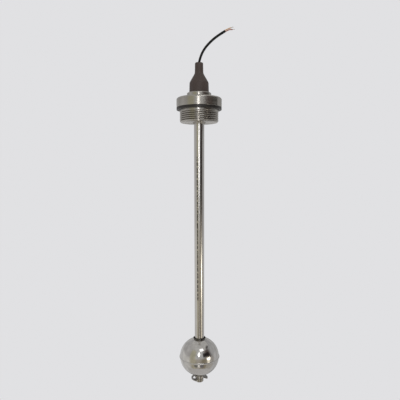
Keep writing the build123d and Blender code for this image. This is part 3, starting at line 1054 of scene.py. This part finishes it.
def room_wall(name, radius, bottom, top):
    """A round wall about the sensor, out of the camera's sight, with its closed ceiling."""
    wall = bmesh.new()
    bmesh.ops.create_cone(
        wall, cap_ends=True, segments=96, radius1=radius, radius2=radius, depth=top - bottom
    )
    bmesh.ops.translate(wall, verts=wall.verts, vec=(0, 0, (top + bottom) / 2))
    lowest = [face for face in wall.faces if face.calc_center_median().z < bottom + 0.01]
    bmesh.ops.delete(wall, geom=lowest, context="FACES_ONLY")
    mesh = bpy.data.meshes.new(name)
    wall.to_mesh(mesh)
    wall.free()
    obj = bpy.data.objects.new(name, mesh)
    scene.collection.objects.link(obj)
    obj.visible_camera = False
    return obj


def colour_ramp(tree, factor, stops):
    """A ramp over the azimuth, from -180 to 180 degrees. A stop is an azimuth and its shade."""
    ramp = add_node(tree, "ShaderNodeValToRGB", {"Fac": factor})
    marks = ramp.color_ramp.elements
    while len(marks) < len(stops):
        marks.new(0.5)
    for mark, (azimuth, shade) in zip(marks, sorted(stops.items())):
        mark.position = (azimuth + 180) / 360
        mark.color = (*(shade if isinstance(shade, tuple) else (shade,) * 3), 1)
    return ramp.outputs["Color"]


# what stands round the sensor at the height of the plug, by azimuth from the camera's side
ROOM_HIGH = {
    -180: 0.26,
    -165: 0.36,
    -150: 0.43,
    -62: (0.44, 0.43, 0.42),
    -55: (0.41, 0.395, 0.30),
    -28: (0.41, 0.395, 0.30),
    -19: 0.47,
    14: 0.47,
    26: 0.36,
    38: (0.19, 0.165, 0.158),
    50: (0.10, 0.078, 0.072),
    68: (0.10, 0.078, 0.072),
    78: 0.24,
    86: 0.40,
    150: 0.38,
    170: 0.30,
}
# and below the sensor's middle
ROOM_LOW = {
    -180: 0.26,
    -165: 0.36,
    -150: 0.56,
    -62: (0.58, 0.57, 0.54),
    -50: (0.41, 0.38, 0.29),
    -22: (0.41, 0.38, 0.29),
    -12: (0.37, 0.34, 0.30),
    8: (0.34, 0.305, 0.25),
    17: (0.24, 0.21, 0.15),
    36: (0.24, 0.21, 0.15),
    46: (0.40, 0.37, 0.32),
    70: (0.38, 0.36, 0.33),
    84: (0.38, 0.36, 0.33),
    96: 0.50,
    110: 0.47,
    150: 0.42,
    170: 0.30,
}
room = room_wall("room_wall", ROOM_RADIUS, ROOM_BOTTOM, ROOM_TOP)
room_paint = bpy.data.materials.new("room_wall")
room_paint.use_nodes = True
tree = room_paint.node_tree
tree.nodes.clear()
place = add_node(tree, "ShaderNodeTexCoord").outputs["Object"]
parts = add_node(tree, "ShaderNodeSeparateXYZ", {"Vector": place}).outputs
towards_camera = math_node(tree, "MULTIPLY", parts["Y"], -1.0)
azimuth = math_node(tree, "ARCTAN2", parts["X"], towards_camera)
turn = add_node(
    tree, "ShaderNodeMapRange", {"Value": azimuth, "From Min": -math.pi, "From Max": math.pi}
)
high = colour_ramp(tree, turn.outputs["Result"], ROOM_HIGH)
low = colour_ramp(tree, turn.outputs["Result"], ROOM_LOW)
rise = add_node(
    tree,
    "ShaderNodeMapRange",
    {"Value": parts["Z"], "From Min": LOW_ENDS, "From Max": HIGH_STARTS},
    interpolation_type="SMOOTHSTEP",
)
wall_colour = blend_colours(tree, rise.outputs["Result"], low, high)
top = add_node(
    tree,
    "ShaderNodeMapRange",
    {"Value": parts["Z"], "From Min": HIGH_ENDS, "From Max": CEILING_STARTS},
    interpolation_type="SMOOTHSTEP",
)
ceiling = top.outputs["Result"]
wall_colour = blend_colours(tree, ceiling, wall_colour, (0.48, 0.475, 0.46, 1))
unevenness = add_node(tree, "ShaderNodeTexNoise", {"Vector": place, "Scale": 3.0, "Detail": 2.0})
level = spread(tree, unevenness.outputs["Fac"], 0.55, 1.45)
mirrored = add_node(tree, "ShaderNodeLightPath").outputs["Is Glossy Ray"]
strength = math_node(tree, "MULTIPLY", level, spread(tree, mirrored, 1.9, 1.0))
plain_colour = blend_colours(tree, ceiling, (0.44, 0.43, 0.42, 1), (0.26, 0.26, 0.26, 1))
wall_colour = blend_colours(tree, mirrored, plain_colour, wall_colour)
shine = add_node(tree, "ShaderNodeEmission", {"Color": wall_colour, "Strength": strength})
end = add_node(tree, "ShaderNodeOutputMaterial")
tree.links.new(shine.outputs["Emission"], end.inputs["Surface"])
room_paint.cycles.emission_sampling = "NONE"
room.data.materials.append(room_paint)


def card(name, azimuths, heights, distance, colour, strength=1.0):
    """A curved card before the room's wall, between two azimuths and two heights.

    Only the metal shows a card. One with a strength over 1 also lights the sensor.
    """
    steps = 12
    verts = []
    faces = []
    for i in range(steps + 1):
        azimuth = math.radians(azimuths[0] + (azimuths[1] - azimuths[0]) * i / steps)
        for height in heights:
            verts.append((distance * math.sin(azimuth), -distance * math.cos(azimuth), height))
    for i in range(steps):
        faces.append((2 * i, 2 * i + 1, 2 * i + 3, 2 * i + 2))
    mesh = bpy.data.meshes.new(name)
    mesh.from_pydata(verts, [], faces)
    paint = bpy.data.materials.new(name)
    paint.use_nodes = True
    paint.node_tree.nodes.clear()
    shine = add_node(
        paint.node_tree, "ShaderNodeEmission", {"Color": (*colour, 1), "Strength": strength}
    )
    end = add_node(paint.node_tree, "ShaderNodeOutputMaterial")
    paint.node_tree.links.new(shine.outputs["Emission"], end.inputs["Surface"])
    mesh.materials.append(paint)
    obj = bpy.data.objects.new(name, mesh)
    scene.collection.objects.link(obj)
    obj.visible_camera = False
    obj.visible_diffuse = strength > 1


card("window_front", (-6, 0), (-0.12, 0.15), 0.55, (1.0, 1.0, 0.98), 4.8)
card("window_front_wide", (-12, 3), (-0.05, 0.0), 0.56, (1.0, 1.0, 0.98), 2.8)
card("window_right", (42, 63), (-0.365, -0.275), 0.46, (1.0, 0.94, 0.80), 3.2)
card("window_right_sill", (45, 60), (-0.52, -0.365), 0.46, (1.0, 0.93, 0.76), 1.01)
card("softbox", (3, 36), (0.38, 0.80), 0.62, (1.0, 1.0, 1.0), 2.4)
card("dark_near", (66, 102), (0.01, 0.14), 0.30, (0.05, 0.045, 0.04))
card("dark_front", (22, 66), (-0.19, 0.05), 0.55, (0.022, 0.018, 0.018))
card("pale_back", (150, 210), (-0.24, -0.06), 0.80, (0.54, 0.53, 0.52))
card("dark_low_left", (-32, -9), (-0.95, -0.50), 0.60, (0.17, 0.165, 0.15))
card("dark_low_right", (2, 26), (-0.95, -0.50), 0.60, (0.16, 0.15, 0.155))
card("gap_low", (-8, 1), (-0.95, -0.54), 0.60, (1.0, 0.97, 0.90), 1.05)

light = bpy.data.lights.new("lamp_above", "AREA")
light.shape = "DISK"
light.size = 0.26
light.energy = 0.8
lamp = bpy.data.objects.new("lamp_above", light)
lamp.location = (0.40, -0.62, 0.90)
aim = Vector((0, 0, -0.15)) - lamp.location
lamp.rotation_euler = aim.to_track_quat("-Z", "Y").to_euler()
lamp.visible_glossy = False
scene.collection.objects.link(lamp)


def pale_for_camera(tree, paint, surface):
    """The paint's own light for the scene, and the plain pale ground for the camera."""
    seen = add_node(tree, "ShaderNodeLightPath").outputs["Is Camera Ray"]
    shine = add_node(tree, "ShaderNodeEmission", {"Color": (*PALE, 1)})
    mixed = add_node(tree, "ShaderNodeMixShader", {"Fac": seen, 1: paint, 2: shine.outputs["Emission"]})
    tree.links.new(mixed.outputs["Shader"], surface)


floor_mesh = bpy.data.meshes.new("floor")
disc = bmesh.new()
bmesh.ops.create_circle(disc, cap_ends=True, segments=96, radius=FLOOR_RADIUS)
bmesh.ops.translate(disc, verts=disc.verts, vec=(0, 0, FLOOR_Z))
disc.to_mesh(floor_mesh)
disc.free()
floor_paint, tree, shader = new_material("floor_paint", {"Roughness": 0.8})
shader.inputs["Base Color"].default_value = (0.60, 0.60, 0.60, 1)
end = tree.nodes["Material Output"].inputs["Surface"]
pale_for_camera(tree, shader.outputs["BSDF"], end)
floor_mesh.materials.append(floor_paint)
floor = bpy.data.objects.new("floor", floor_mesh)
scene.collection.objects.link(floor)

world = bpy.data.worlds.new("pale_room")
scene.world = world
world.use_nodes = True
tree = world.node_tree
tree.nodes.clear()
rays = add_node(tree, "ShaderNodeLightPath").outputs
seen = math_node(tree, "ADD", rays["Is Camera Ray"], rays["Is Glossy Ray"])
seen = math_node(tree, "ADD", seen, rays["Is Transmission Ray"], clamp=True)
strength = spread(tree, seen, 0.7, 1.0)
sky = add_node(tree, "ShaderNodeBackground", {"Color": (*PALE, 1), "Strength": strength})
end = add_node(tree, "ShaderNodeOutputWorld")
tree.links.new(sky.outputs["Background"], end.inputs["Surface"])
scene.view_settings.view_transform = "Standard"
